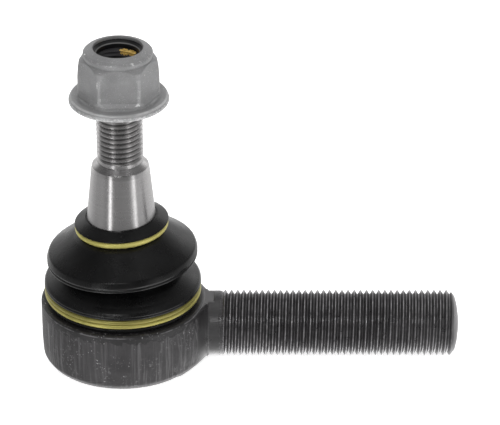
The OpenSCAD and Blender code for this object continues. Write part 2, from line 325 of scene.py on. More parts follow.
class Finish:
    """A procedural material, in the piece's own coordinates in metres."""

    def __init__(self, name, colour, roughness, metallic=0.0):
        self.material = bpy.data.materials.new(name)
        self.material.use_nodes = True
        self.nodes = self.material.node_tree.nodes
        self.links = self.material.node_tree.links
        self.shader = self.nodes["Principled BSDF"]
        self.set(Roughness=roughness, Metallic=metallic)
        self.shader.inputs["Base Color"].default_value = (*colour, 1)
        self.place = self.nodes.new("ShaderNodeTexCoord").outputs["Object"]

    def set(self, **values):
        for name, value in values.items():
            self.shader.inputs[name.replace("_", " ")].default_value = value
        return self

    def put(self, socket, value):
        if isinstance(value, bpy.types.NodeSocket):
            self.links.new(value, socket)
        else:
            socket.default_value = value

    def stretched(self, scale):
        mapping = self.nodes.new("ShaderNodeMapping")
        mapping.inputs["Scale"].default_value = scale
        self.links.new(self.place, mapping.inputs["Vector"])
        return mapping.outputs["Vector"]

    def noise(self, scale, detail=3.0, rough=0.55, stretch=(1, 1, 1)):
        """Noise with features about 1/scale metres long."""
        node = self.nodes.new("ShaderNodeTexNoise")
        node.inputs["Scale"].default_value = scale
        node.inputs["Detail"].default_value = detail
        node.inputs["Roughness"].default_value = rough
        self.links.new(self.stretched(stretch), node.inputs["Vector"])
        return node.outputs["Fac"]

    def math(self, operation, a, b=0.0, clamp=False):
        node = self.nodes.new("ShaderNodeMath")
        node.operation = operation
        node.use_clamp = clamp
        self.put(node.inputs[0], a)
        self.put(node.inputs[1], b)
        return node.outputs[0]

    def times(self, first, *others):
        """Product of several values."""
        for other in others:
            first = self.math("MULTIPLY", first, other)
        return first

    def most(self, first, *others):
        """Largest of several values."""
        for other in others:
            first = self.math("MAXIMUM", first, other)
        return first

    def span(self, value, low, high, to_low=0.0, to_high=1.0):
        """value mapped from low..high to to_low..to_high, clamped."""
        node = self.nodes.new("ShaderNodeMapRange")
        node.clamp = True
        self.put(node.inputs["Value"], value)
        for name, number in zip(("From Min", "From Max", "To Min", "To Max"), (low, high, to_low, to_high)):
            node.inputs[name].default_value = number
        return node.outputs["Result"]

    def band(self, value, rise, fall):
        """1 between two edges and 0 outside. rise and fall give where each fade starts and ends, in mm."""
        up = self.span(value, rise[0] * MM, rise[1] * MM)
        return self.times(up, self.span(value, fall[0] * MM, fall[1] * MM, 1.0, 0.0))

    def mix(self, share, a, b):
        node = self.nodes.new("ShaderNodeMix")
        node.data_type = "RGBA"
        self.put(node.inputs[0], share)
        for socket, value in ((node.inputs[6], a), (node.inputs[7], b)):
            self.put(socket, value if isinstance(value, bpy.types.NodeSocket) else (*value, 1))
        return node.outputs[2]

    def axis(self, name):
        node = self.nodes.new("ShaderNodeSeparateXYZ")
        self.links.new(self.place, node.inputs[0])
        return node.outputs[name]

    def radius_about_shank(self):
        up = self.math("SUBTRACT", self.axis("Z"), shank_z * MM)
        squares = [self.times(s, s) for s in (up, self.axis("Y"))]
        return self.math("SQRT", self.math("ADD", *squares))

    def radius_about_stud(self):
        squares = [self.times(s, s) for s in (self.axis("X"), self.axis("Y"))]
        return self.math("SQRT", self.math("ADD", *squares))

    def colour(self, socket):
        self.links.new(socket, self.shader.inputs["Base Color"])
        return self

    def roughness(self, socket):
        self.links.new(socket, self.shader.inputs["Roughness"])
        return self

    def bump(self, height, depth, strength=1.0):
        """Relief of a height map; depth is the height of its full range in metres."""
        node = self.nodes.new("ShaderNodeBump")
        node.inputs["Strength"].default_value = strength
        node.inputs["Distance"].default_value = depth
        self.links.new(height, node.inputs["Height"])
        before = self.shader.inputs["Normal"]
        if before.is_linked:
            self.links.new(before.links[0].from_socket, node.inputs["Normal"])
        self.links.new(node.outputs["Normal"], before)
        return self


def phosphated_forging():
    """Dark grey phosphate coat on a sheared forging: upright drag marks, scale and pale specks, with painted
    shade on the drum above the sheared face's ragged edge and a painted highlight line round the drum's top
    corner.
    The neck and collar are turned, and the facing cut on top of them is painted paler, partly as the bare cut and
    partly as painted light from above."""
    f = Finish("phosphated_forging", (0.05, 0.05, 0.05), 0.5, 0.4)
    along, height = f.axis("X"), f.axis("Z")
    streaks = f.noise(1.0, 5, 0.6, (1500, 1500, 45))
    clouds = f.noise(160, 4)
    # the sheared face ends in a ragged edge: noise averages a half, so it lies about 3 mm under 17
    rag, torn_z = 6.0, 17.0
    torn_edge = f.math("ADD", height, f.times(f.noise(420, 4, 0.7), rag * MM))
    below_edge = f.span(torn_edge, (torn_z - 0.2) * MM, (torn_z + 0.2) * MM, 1.0, 0.0)
    drum_end_x, neck_start_x = 17.5, 19.0
    on_drum = f.span(along, drum_end_x * MM, neck_start_x * MM, 1.0, 0.0)
    sheared = f.times(below_edge, on_drum)
    tone = f.mix(f.span(clouds, 0.3, 0.7), (0.0265, 0.025, 0.0265), (0.045, 0.043, 0.045))
    # painted shade: above the ragged edge the drum is darkened, as the shadow under the lower clamp wire and the
    # boot
    shade_above_edge = f.math("SUBTRACT", on_drum, below_edge, True)
    tone = f.mix(f.times(shade_above_edge, 0.75), tone, (0.015, 0.0145, 0.015))
    tone = f.mix(f.math("SUBTRACT", 1.0, on_drum), tone, (0.020, 0.019, 0.020))
    tone = f.mix(f.span(along, collar_x * MM, (collar_x + 0.1) * MM), tone, (0.050, 0.049, 0.050))
    # drag marks, strongest toward the shank and at the far left
    side = f.most(f.span(along, -4 * MM, 14 * MM, 0.28, 0.75), f.span(along, -18.5 * MM, -9 * MM, 1.0, 0.0))
    lines = f.times(f.span(streaks, 0.50, 0.72), sheared, side)
    tone = f.mix(lines, tone, (0.18, 0.176, 0.18))
    # a painted highlight line round the drum's top corner, broken up by noise
    edge = f.times(f.band(height, (15.30, 15.38), (15.52, 15.60)), on_drum)
    edge = f.times(edge, f.span(f.noise(300, 3), 0.42, 0.54, 0.0, 0.6))
    tone = f.mix(edge, tone, (0.17, 0.166, 0.17))
    mottle = f.times(f.span(f.noise(1100, 3, 0.7), 0.56, 0.66), f.span(f.noise(210, 3), 0.50, 0.60))
    tone = f.mix(f.times(mottle, on_drum, 0.5), tone, (0.20, 0.195, 0.20))
    specks = f.times(f.span(f.noise(2600, 1), 0.68, 0.74), f.span(f.noise(230, 2), 0.50, 0.60))
    tone = f.mix(f.times(specks, on_drum, 0.8), tone, (0.50, 0.49, 0.50))
    # the flat that the facing tool cut into the neck and the collar, painted paler: partly the bare cut, partly
    # painted light from above
    in_plane = f.band(height, (neck_top - 0.08, neck_top - 0.03), (neck_top + 0.02, neck_top + 0.06))
    reach = f.band(along, (17.0, 17.4), (facing_r, facing_r + 0.1))
    faced = f.times(in_plane, reach)
    f.colour(f.mix(faced, tone, (0.13, 0.127, 0.13)))
    f.set(Specular_IOR_Level=0.9)
    smoother = f.times(f.math("SUBTRACT", 1.0, on_drum), -0.14)
    f.roughness(f.math("ADD", f.span(clouds, 0.25, 0.75, 0.36, 0.52), smoother))
    f.bump(f.times(streaks, sheared), 0.00025, 0.6)
    f.bump(f.times(f.noise(700, 4, 0.6), on_drum), 0.00022, 0.5)
    return f.material


def phosphated_thread():
    """Dark phosphate in the thread's roots, worn to a paler grey on the crests."""
    f = Finish("phosphated_thread", (0.07, 0.07, 0.07), 0.36, 0.85)
    out = f.radius_about_shank()
    crest = f.span(out, (shank_r - 0.12) * MM, (shank_r - 0.02) * MM)
    root = f.span(out, (shank_root_r + 0.02) * MM, (shank_root_r + 0.12) * MM, 1.0, 0.0)
    root = f.times(root, f.span(f.noise(90, 3), 0.42, 0.58, 0.0, 0.55))
    crest = f.most(crest, root)
    worn = f.times(crest, f.span(f.noise(600, 4, 0.65), 0.35, 0.6, 0.3, 1.0))
    tone = f.mix(f.span(f.noise(150, 3), 0.3, 0.7), (0.088, 0.085, 0.088), (0.140, 0.136, 0.140))
    scratches = f.noise(1.0, 4, 0.6, (200, 2500, 2500))
    tone = f.mix(f.span(scratches, 0.55, 0.7, 0.0, 0.5), tone, (0.22, 0.216, 0.22))
    tone = f.mix(worn, tone, (0.48, 0.47, 0.48))
    along = f.axis("X")
    tone = f.mix(f.span(along, 60 * MM, 79 * MM, 0.0, 0.22), tone, (0.30, 0.295, 0.30))
    on_end = f.span(along, (shank_end - 1.5) * MM, (shank_end - 1.3) * MM)
    f.colour(f.mix(on_end, tone, (0.26, 0.255, 0.26)))
    f.roughness(f.span(f.noise(600, 3), 0.3, 0.7, 0.26, 0.38))
    f.set(Specular_IOR_Level=0.9)
    f.bump(f.noise(2600, 3), 0.00003, 0.5)
    return f.material


def pressed_plate():
    """The closing plate's duller, slightly bluer coat."""
    f = Finish("pressed_plate", (0.09, 0.09, 0.095), 0.45, 0.6)
    clouds = f.noise(220, 4)
    f.colour(f.mix(f.span(clouds, 0.3, 0.7), (0.07, 0.07, 0.074), (0.12, 0.12, 0.125)))
    f.roughness(f.span(clouds, 0.3, 0.7, 0.38, 0.55))
    f.bump(f.noise(1800, 3), 0.00004, 0.5)
    return f.material


def ground_steel():
    """Turned and ground steel: fine rings round the stud spread each highlight into an upright strip.
    The rolled thread is rougher, and painted darker in its roots as shade in the grooves."""
    f = Finish("ground_steel", (0.5, 0.49, 0.49), 0.3, 1.0)
    rings = f.noise(1.0, 4, 0.6, (30, 30, 16000))
    ground = f.mix(f.span(rings, 0.35, 0.65), (0.50, 0.49, 0.49), (0.60, 0.59, 0.59))
    # painted shade: the rolled thread's roots are coloured darker than its crests
    root = f.span(f.radius_about_stud(), (stud_r - 0.62) * MM, (stud_r - 0.3) * MM)
    rolled = f.mix(root, (0.28, 0.275, 0.275), (0.56, 0.55, 0.55))
    on_thread = f.span(f.axis("Z"), (stud_thread_z - 0.4) * MM, stud_thread_z * MM)
    f.colour(f.mix(on_thread, ground, rolled))
    wear = f.noise(420, 3)
    f.roughness(f.math("ADD", f.span(wear, 0.3, 0.7, 0.23, 0.29), f.times(on_thread, 0.02)))
    f.bump(rings, 0.00001, 0.35)
    tangent = f.nodes.new("ShaderNodeTangent")
    tangent.direction_type = "RADIAL"
    tangent.axis = "Z"
    f.links.new(tangent.outputs[0], f.shader.inputs["Tangent"])
    f.set(Anisotropic_Rotation=0.25)
    f.links.new(f.span(on_thread, 0, 1, 0.75, 0.0), f.shader.inputs["Anisotropic"])
    return f.material


def boot_rubber():
    """Moulded black rubber with a faint bloom and a fine grain."""
    f = Finish("boot_rubber", (0.007, 0.007, 0.0072), 0.36).set(Specular_IOR_Level=0.36)
    bloom = f.noise(120, 4)
    tone = f.mix(f.span(bloom, 0.35, 0.7), (0.0022, 0.0022, 0.0023), (0.0050, 0.0050, 0.0052))
    f.colour(tone)
    f.roughness(f.span(f.noise(300, 4), 0.3, 0.7, 0.24, 0.34))
    f.bump(f.noise(2200, 4), 0.00004, 0.5)
    f.bump(f.noise(160, 2), 0.0003, 0.25)
    return f.material


def yellow_zinc(name, share, metallic, shaded_above=1.0):
    """Yellow passivated wire; share scales how pale it is, and above a height in metres it is painted darker, a
    painted reflection of the black boot.
    The height that is left out lies far above the part, so nothing is darkened."""
    f = Finish(name, (0.5, 0.44, 0.12), 0.3, metallic)
    drift = f.noise(180, 4)
    low, high = [[c * share for c in colour] for colour in ((0.56, 0.52, 0.14), (0.78, 0.70, 0.22))]
    tone = f.mix(f.span(drift, 0.3, 0.7), low, high)
    # painted reflection: above the height the wire is painted half toward dark olive, standing for the black boot
    # mirrored in it
    shaded = f.span(f.axis("Z"), shaded_above - 0.0001, shaded_above + 0.0001, 0.0, 0.5)
    f.colour(f.mix(shaded, tone, (0.12, 0.105, 0.03)))
    f.roughness(f.span(drift, 0.3, 0.7, 0.26, 0.38))
    f.bump(f.noise(2400, 3), 0.00003, 0.5)
    return f.material


def zinc_flake():
    """Matt grey zinc-flake coat with a fine grain, bright chips along the nut's edges, small scuffs, and painted
    highlight lines along the hexagon's corners and round the flange's rims.
    """
    f = Finish("zinc_flake", (0.27, 0.27, 0.275), 0.45, 0.6)
    clouds = f.noise(260, 4)
    tone = f.mix(f.span(clouds, 0.3, 0.7), (0.24, 0.24, 0.242), (0.31, 0.31, 0.313))
    on_flange = f.span(f.axis("Z"), (nut_z + 1.6) * MM, (nut_z + 2.2) * MM, 0.35, 0.0)
    tone = f.mix(on_flange, tone, (0.40, 0.40, 0.403))
    grain = f.noise(5200, 2)
    tone = f.mix(f.span(grain, 0.55, 0.72, 0.0, 0.4), tone, (0.50, 0.50, 0.505))
    out, height = f.radius_about_stud(), f.axis("Z")

    def between(value, low, high, fade=0.05):
        return f.band(value, (low - fade, low), (high, high + fade))

    # corner, shoulder and rim masks: the chips on them are wear, while the even lines on the corners and rims are
    # painted highlights
    corners = f.times(between(out, 9.46, 10), between(height, nut_z + 2.6, HEX_TOP))
    shoulder = f.times(between(out, 7.7, 8.3), between(height, HEX_TOP + 1.1, HEX_TOP + 1.6))
    rim = f.times(between(out, 11.25, 11.66), between(height, nut_z + 1.35, nut_z + 1.7))
    chips = f.span(f.noise(1000, 5, 0.8), 0.53, 0.60)
    places = f.noise(230, 2)
    worn = f.most(f.times(corners, f.span(places, 0.40, 0.56, 0.2, 1.0)),
                  f.times(shoulder, f.span(places, 0.52, 0.62)))
    # every corner also gets a faint painted highlight line, chips or not
    worn = f.most(f.times(worn, chips), f.times(corners, 0.09))
    # painted highlight round the flange's upper rim, stronger in places
    worn = f.most(worn, f.times(rim, f.span(places, 0.35, 0.6, 0.1, 0.45)))
    # painted highlight along the flange's outer edge, broken up by noise
    skirt = f.times(between(out, 11.7, 12), f.span(f.noise(1500, 3), 0.42, 0.58, 0.25, 1.0))
    nicks = f.times(f.span(f.noise(2400, 2), 0.67, 0.71), f.span(f.noise(400, 2), 0.48, 0.58))
    wear_and_highlights = f.most(f.times(nicks, 0.6), worn, f.times(skirt, 0.5))
    f.colour(f.mix(wear_and_highlights, tone, (0.85, 0.85, 0.855)))
    f.roughness(f.span(clouds, 0.3, 0.7, 0.40, 0.52))
    f.bump(grain, 0.00003, 0.6)
    f.bump(f.noise(420, 3), 0.00012, 0.35)
    return f.material


def nylon():
    """Near-black nylon with a painted highlight: a pale ring on its bore's top edge."""
    f = Finish("nylon", (0.006, 0.006, 0.0065), 0.4)
    # painted highlight: a pale ring where the bore meets the insert's top
    near_bore = f.span(f.radius_about_stud(), (INSERT_BORE + 0.16) * MM, (INSERT_BORE + 0.22) * MM, 1.0, 0.0)
    near_top = f.span(f.axis("Z"), (INSERT_HIGH - 0.86) * MM, (INSERT_HIGH - 0.82) * MM)
    edge = f.times(near_bore, near_top)
    f.colour(f.mix(edge, (0.006, 0.006, 0.0065), (0.10, 0.10, 0.098)))
    f.bump(f.noise(2200, 3), 0.00003, 0.4)
    return f.material


def moulded(name, colour, roughness, grain=2200):
    """Moulded polymer or rubber with a slight tone drift and a fine grain."""
    f = Finish(name, colour, roughness)
    drift = f.noise(240, 3)
    f.colour(f.mix(f.span(drift, 0.3, 0.7), [c * 0.85 for c in colour], [c * 1.12 for c in colour]))
    f.roughness(f.span(drift, 0.3, 0.7, roughness - 0.06, roughness + 0.08))
    f.bump(f.noise(grain, 3), 0.00003, 0.4)
    return f.material


def spring_steel():
    """Bare hard steel of the hidden spring and washer."""
    f = Finish("spring_steel", (0.36, 0.36, 0.37), 0.35, 1.0)
    lay = f.noise(900, 4)
    f.colour(f.mix(f.span(lay, 0.3, 0.7), (0.3, 0.3, 0.31), (0.42, 0.42, 0.43)))
    f.roughness(f.span(lay, 0.3, 0.7, 0.28, 0.42))
    f.bump(f.noise(3000, 3), 0.00002, 0.4)
    return f.material


def locking_compound():
    """Cured gold locking compound, uneven in colour."""
    f = Finish("locking_compound", (0.62, 0.40, 0.09), 0.4)
    blots = f.noise(1400, 4)
    f.colour(f.mix(f.span(blots, 0.3, 0.7), (0.42, 0.24, 0.045), (0.80, 0.56, 0.16)))
    f.bump(blots, 0.00025, 0.6)
    return f.material


# ---------------------------------------------------------------- the pieces

def drum_outline():
    """The eye's drum and the boss above it, with the groove for the boot's bead."""
    return rounded([
        (-5, 0), (17.5, 0, 0.4), (drum_r - 1, 0.9, 0.8), (drum_r - 0.2, 2.1, 1.2), (drum_r, 6),
        (drum_r, drum_top - 0.45, 0.4), (drum_r - 0.45, drum_top, 0.4), (boss_r, drum_top),
        (boss_r, boot_groove_low), (boot_groove_r, boot_groove_low), (boot_groove_r, boot_groove_high),
        (boss_r, boot_groove_high), (boss_r, boss_top - 0.7, 0.2), (boss_r - 1.8, boss_top, 0.3),
        (-5, boss_top)
    ])


def socket_outline():
    """What is bored out of the housing, with the rim rolled in over the closing plate."""
    return rounded([
        (-5, -2), (12.9, -2), (12.3, -0.1, 0.5), (12.0, 0.45, 0.4), (12.1, 0.9), (13.0, 0.9), (13.0, 2.6),
        (11.6, 2.6), (11.6, 16.6), (9.3, 18.6), (10.4, boss_top), (10.4, 22), (-5, 22)
    ])


def neck_outline():
    """Neck and plain collar about the shank's axis, as (r, x): a cone that runs tangent into the drum."""
    neck_r, flare_r, flare_x = 8.15, 14.35, 14
    return rounded([
        (-5, 8), (flare_r, 8), (flare_r, flare_x), (neck_r + 0.1, collar_x - 0.5, 1.5),
        (neck_r, collar_x, 0.1), (collar_r, collar_x + 0.1, 0.1), (collar_r, collar_end_x), (-5, collar_end_x)
    ])


def forging_distance(p):
    """Drum, and neck bevelled beneath and faced on top, with the socket bored out."""
    x, y, z = p.T
    r = np.hypot(x, y)
    drum = outline_distance(drum_outline(), r, z)
    across = np.hypot(y, z - shank_z)
    neck = outline_distance(neck_outline(), across, x)
    bevel = 0.7 * np.clip((r - 17.5) / 1.1, 0, 1) * np.clip((21 - r) / 2, 0, 1)
    neck = np.maximum(neck, bevel - z)
    facing = np.maximum(r - facing_r, neck_top - z)
    neck = soft_cut(neck, facing, 0.1)
    body = np.maximum(np.where(x > 5, soft_union(drum, neck, 1.0), drum), -z)
    body = np.where(z > drum_top - 0.6, np.minimum(drum, neck), body)
    return soft_cut(body, outline_distance(socket_outline(), r, z), 0.15)


def make_housing():
    step = 0.3
    margin = 0.45
    low = (-drum_r - margin, -drum_r - margin, -margin)
    high = (collar_end_x + margin, drum_r + margin, boss_top + margin)
    forging = piece("housing_forging", surface(forging_distance, low, high, step), forging_finish,
                    50)
    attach(forging, "housing")
    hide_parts("housing")

    thread_end = shank_end - 2.1
    root = THREAD_DEPTH * shank_pitch
    inner_r = collar_r - 0.04

    def radius(depth, x):
        full = np.clip((x - shank_thread_start + 0.3) / 0.8, 0, 1)
        r = inner_r + (shank_r - root * depth - inner_r) * full
        return np.minimum(r, shank_r - (x - thread_end) * 1.1)

    end_r = shank_r - 0.8 * 1.1
    start_x = collar_end_x - 0.6
    threads = threaded(radius, start_x, thread_end + 0.8, shank_pitch, hand=-1, columns=144)
    end = lathe(rounded([
        (end_r, thread_end + 0.8), (end_r - 0.7, thread_end + 1.25, 0.6), (4.5, shank_end - 0.35, 2),
        (2, shank_end - 0.03, 2), (0, shank_end)
    ]), columns=144)
    start = lathe([(0, start_x), (inner_r, start_x)], columns=144)
    shank = piece("housing_shank", along_shank(joined(threads, end, start)), thread_finish,
                  25)
    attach(shank, "housing")


def make_closing_plate():
    low, high = box_mm("cover_plate")
    plate_r = high[0]
    outline = rounded([
        (0, low[2] + 0.5), (7.7, low[2] + 0.5, 0.6), (8.6, low[2], 0.5), (plate_r - 0.3, low[2], 0.2),
        (plate_r, low[2] + 0.3, 0.2), (plate_r, high[2] - 0.3, 0.2), (plate_r - 0.3, high[2], 0.2),
        (0, high[2])
    ])
    plate = piece("closing_plate", lathe(outline), plate_finish)
    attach(plate, "housing")
    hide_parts("cover_plate")


def make_stud():
    taper_top_z, taper_top_r = 51.2, 6.99
    thread_start = 54.4
    root = THREAD_DEPTH * stud_pitch

    def radius(depth, z):
        full = np.clip((z - thread_start + 0.2) / 0.7, 0, 1)
        r = stud_relief_r + (stud_r - root * depth - stud_relief_r) * full
        return np.minimum(r, stud_r - (z - stud_tip + 1.0) * 0.9)

    flat_z = stud_low[2]
    half_flat = math.sqrt(ball_r ** 2 - (ball_z - flat_z) ** 2)
    down = math.atan2(flat_z - ball_z, half_flat)
    neck_r = 5.2
    up = math.acos(neck_r / ball_r)
    ball = [(ball_r * math.cos(a), ball_z + ball_r * math.sin(a)) for a in np.linspace(down, up, 40)]
    taper_r = 8.25
    upper = rounded([
        ball[-1], (neck_r, ball_z + 9.6, 1.0), (neck_r, 27.5, 2), (7.65, 32.6, 1), (taper_r, 33.6, 0.5),
        (taper_r, taper_z), (taper_top_r, taper_top_z, 0.3), (6.75, 52.3, 0.3), (5.5, 53.2, 0.25),
        (stud_relief_r, 53.4), (stud_relief_r, stud_thread_z)
    ])
    body = lathe(np.concatenate([[(0, flat_z)], ball, upper[1:]]))
    threads = threaded(radius, stud_thread_z, stud_tip, stud_pitch)
    tip_r = stud_r - 0.9
    tip = lathe([(tip_r, stud_tip), (tip_r - 0.4, stud_tip), (0, stud_tip)])
    stud = piece("stud", joined(body, threads, tip), steel_finish, 30)
    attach(stud, "ball_stud")
    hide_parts("ball_stud")


def lean(vertices):
    """Leans the boot's top about Y, as soft rubber settles when it is clamped."""
    x, y, z = vertices.T
    share = np.clip((z - LEAN_FROM) / (LEAN_TO - LEAN_FROM), 0, 1)
    share = share * share * (3 - 2 * share)
    rise = x * math.tan(BOOT_LEAN) * share
    return np.stack([x, y, z + rise], -1)


def make_boot():
    """Two closed rubber shells that meet at the waist: each outer outline runs on into its inner one."""
    fold_r = box_mm("boot_lower_fold")[1][0]
    lower = np.concatenate([
        rounded([
            (17.1, 15.96), (18.25, 15.96, 0.25), (18.5, 17.0, 0.3), (17.85, 17.4, 0.2), (17.85, 19.75, 0.2),
            (fold_r - 0.6, 19.8, 0.2), (fold_r - 0.1, 19.95, 0.3), (fold_r - 0.04, 20.4, 0.3),
            (fold_r - 0.2, 20.6, 0.15), (fold_r - 0.04, 20.9, 0.4), (fold_r - 0.5, 21.6, 0.7),
            (17.3, 22.3, 1.2), (15.3, 23.75, 2), (12.7, 24.7, 1.0), (waist_out_r, waist_z)
        ]),
        rounded([
            (waist_in_r, waist_z), (11.4, 24.6, 1), (13.6, 23.6, 2), (16.0, 21.9, 1.5), (17.1, 21.0, 1),
            (17.35, 20.4, 0.5), (17.1, 19.5, 0.3), (16.45, 19.35), (16.45, 17.15), (17.1, 17.15),
            (17.1, 15.96)
        ])
    ])
    vertices, faces = lathe(lower[:-1], closed=True, columns=192)
    boot = piece("boot_lower", (lean(vertices), faces), rubber_finish, 60)
    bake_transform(boot)
    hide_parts("boot_lower_fold", "boot_waist")

    top_r = box_mm("boot_upper_fold")[1][0]
    bore = 8.29
    upper = np.concatenate([
        rounded([
            (waist_in_r, waist_z), (waist_out_r, waist_z), (12.6, 26.2, 1), (14.2, 26.9, 1.0),
            (17.4, 26.9, 0.4), (top_r - 0.12, 26.98, 0.3), (top_r - 0.04, 27.45, 0.3), (top_r - 0.24, 27.7, 0.15),
            (top_r, 28.2, 0.6), (top_r - 0.45, 29.6, 1.2), (16.6, 30.45, 2), (14.2, 32.15, 3),
            (11.7, 34.0, 2), (10.1, 34.85, 0.5), (9.68, 35.1, 0.2), (9.68, 36.62), (11.15, 36.62, 0.12), (11.4, 36.9, 0.2),
            (11.15, 37.15, 0.2), (8.75, 38.38, 0.2), (bore, 38.3)
        ]),
        rounded([
            (bore, 34.0), (10.6, 32.9, 1), (13.6, 30.8, 2), (15.9, 29.3, 1), (16.7, 28.6, 0.5),
            (15.6, 28.2, 0.5), (12.6, 27.9, 1), (11.3, 26.4, 1), (waist_in_r, waist_z)
        ])
    ])
    vertices, faces = lathe(upper[:-1], closed=True, columns=192)
    boot = piece("boot_upper", (lean(vertices), faces), rubber_finish, 60)
    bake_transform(boot)
    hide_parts("boot_upper_fold")


def wire(path, wire_r, around=20):
    """(vertices, quads) of a round wire along a path of points about Z, with its ends closed."""
    path = np.array(path)
    ahead = np.gradient(path, axis=0)
    ahead /= np.linalg.norm(ahead, axis=1)[:, None]
    out = path * (1, 1, 0)
    out /= np.linalg.norm(out, axis=1)[:, None]
    out -= (out * ahead).sum(1)[:, None] * ahead
    out /= np.linalg.norm(out, axis=1)[:, None]
    up = np.cross(ahead, out)
    angle = np.arange(around) / around * TURN
    size = np.full(len(path), wire_r)
    size[0] = size[-1] = wire_r * 0.8
    rings = path[:, None] + size[:, None, None] * (
        np.cos(angle)[None, :, None] * out[:, None] + np.sin(angle)[None, :, None] * up[:, None]
    )
    rings = np.concatenate([path[:1, None].repeat(around, 1), rings, path[-1:, None].repeat(around, 1)])
    return rings.reshape(-1, 3), grid_faces(len(rings), around, wrap_columns=True)


def make_clamp_wires():
    """The lower wire is wound almost twice, climbing at the back; the upper ring has a gap there."""
    low, high = box_mm("lower_clamp_ring")
    wire_r = 0.57
    ring_r = high[0] - wire_r - 0.02
    low_z, high_z = low[2] + wire_r + 0.01, high[2] - wire_r - 0.01
    start, crossing = math.radians(118), math.radians(38)
    turns = np.linspace(0, 2 * TURN - crossing * 1.6, 420)
    climb = np.clip((turns - (TURN - crossing)) / crossing, 0, 1)
    climb = climb * climb * (3 - 2 * climb)
    path = [
        (ring_r * math.cos(start + a), ring_r * math.sin(start + a), low_z + (high_z - low_z) * c)
        for a, c in zip(turns, climb)
    ]
    lower = piece("lower_clamp_wire", wire(path, wire_r), lower_wire_finish, 50)
    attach(lower, "housing")
    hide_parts("lower_clamp_ring")

    low, high = box_mm("upper_clamp_ring")
    wire_r = (high[2] - low[2]) / 2 - 0.02
    ring_r = high[0] - wire_r
    middle = (low[2] + high[2]) / 2
    gap = math.radians(7)
    path = [
        (ring_r * math.cos(math.pi / 2 + a), ring_r * math.sin(math.pi / 2 + a), middle)
        for a in np.linspace(gap / 2, TURN - gap / 2, 240)
    ]
    vertices, faces = wire(path, wire_r)
    upper = piece("upper_clamp_wire", (lean(vertices), faces), upper_wire_finish, 50)
    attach(upper, "boot_top")
    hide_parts("upper_clamp_ring")


def nut_flange_outline():
    """Flange with a double rim, and a shallow cone that rises to the hexagon."""
    return rounded([
        (-5, nut_z), (11.6, nut_z, 0.15), (11.88, nut_z + 0.25, 0.15), (11.88, nut_z + 0.75, 0.15),
        (11.62, nut_z + 0.98, 0.1), (11.6, nut_z + 1.4, 0.1), (11.3, nut_z + 1.62, 0.12),
        (10.5, nut_z + 1.72, 0.5), (9.5, nut_z + 1.66, 0.4), (8.2, nut_z + 2.4), (-5, nut_z + 2.4)
    ])


def nut_turned_outline():
    """The turned form that the hexagon's corners and top are cut to."""
    return rounded([
        (-5, nut_z + 1), (9.72, nut_z + 1), (9.72, nut_z + 6), (9.44, nut_z + 9.1, 2),
        (9.18, nut_z + 10.6, 0.3), (8.35, HEX_TOP, 0.3), (7.7, HEX_TOP + 0.2), (-5, HEX_TOP + 0.2)
    ])


def nut_collar_outline():
    """Collar domed in over the locking insert."""
    return rounded([
        (-5, HEX_TOP - 0.6), (7.8, HEX_TOP - 0.6), (8.1, HEX_TOP + 0.2, 0.2), (8.28, HEX_TOP + 0.7, 0.4),
        (8.24, HEX_TOP + 1.25, 0.4), (7.7, HEX_TOP + 1.75, 0.7), (6.3, nut_top - 0.12, 1.0),
        (5.95, nut_top - 0.02, 0.15), (NUT_MOUTH_R, nut_top - 0.2, 0.1), (NUT_MOUTH_R, INSERT_HIGH),
        (-5, INSERT_HIGH)
    ])


def nut_bore_outline():
    """What is cut out of the nut: the bore, the insert's seat and the collar's mouth."""
    bore_r, seat_r = 5.75, 7.22
    return [
        (-5, nut_z - 2), (7.8, nut_z - 1), (6.8, nut_z), (bore_r, nut_z + 1.1), (bore_r, INSERT_LOW),
        (seat_r, INSERT_LOW), (seat_r, INSERT_HIGH), (NUT_MOUTH_R, INSERT_HIGH), (NUT_MOUTH_R, nut_top + 2),
        (-5, nut_top + 2)
    ]


def nut_distance(p):
    """Hexagon with a flared skirt, its flange and its collar, with the bore cut out."""
    x, y, z = p.T
    r = np.hypot(x, y)
    skirt = 0.6 * np.clip((nut_z + 3.2 - z) / 0.9, 0, 1)
    facings = np.radians(NUT_FACING + np.array((30, 90, 150)))
    sides = [np.abs(x * math.cos(a) + y * math.sin(a)) - NUT_FLATS / 2 - skirt for a in facings]
    prism = soft_common(soft_common(sides[0], sides[1], 0.12), sides[2], 0.12)
    hexagon = soft_common(prism, outline_distance(nut_turned_outline(), r, z), 0.12)
    body = soft_union(hexagon, outline_distance(nut_flange_outline(), r, z), 0.15)
    body = soft_union(body, outline_distance(nut_collar_outline(), r, z), 0.2)
    body = np.maximum(body, nut_z - z)
    return soft_cut(body, outline_distance(nut_bore_outline(), r, z), 0.12)


def nut_thread_radius(depth, z):
    """The nut's thread, with its clearance over the stud's."""
    return stud_r - THREAD_DEPTH * stud_pitch * depth + 0.05


